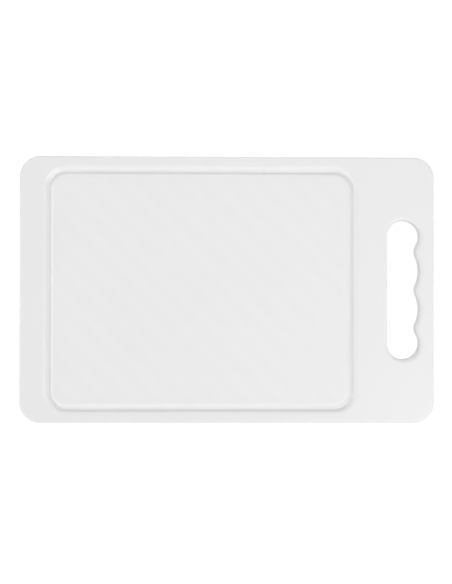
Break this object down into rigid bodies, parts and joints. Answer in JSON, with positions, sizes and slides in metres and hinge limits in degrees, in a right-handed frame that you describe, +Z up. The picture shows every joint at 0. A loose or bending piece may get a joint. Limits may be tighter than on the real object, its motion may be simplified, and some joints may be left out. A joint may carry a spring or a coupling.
{
  "type": "cutting board",
  "caption": "One-piece moulded plastic cutting board with a juice groove around its field and a scalloped hand slot through one end.",
  "frame": {"origin": "centre of the underside, the flat face that the board lies on", "axes": "+X along the board's length, towards the hand slot; +Y across its width; +Z up, out of the cutting field"},
  "size_m": [0.28, 0.18, 0.008],
  "materials": {
    "white_polyethylene": "satin"
  },
  "bodies": {
    "root": {"board": "white_polyethylene"}
  },
  "joints": []
}
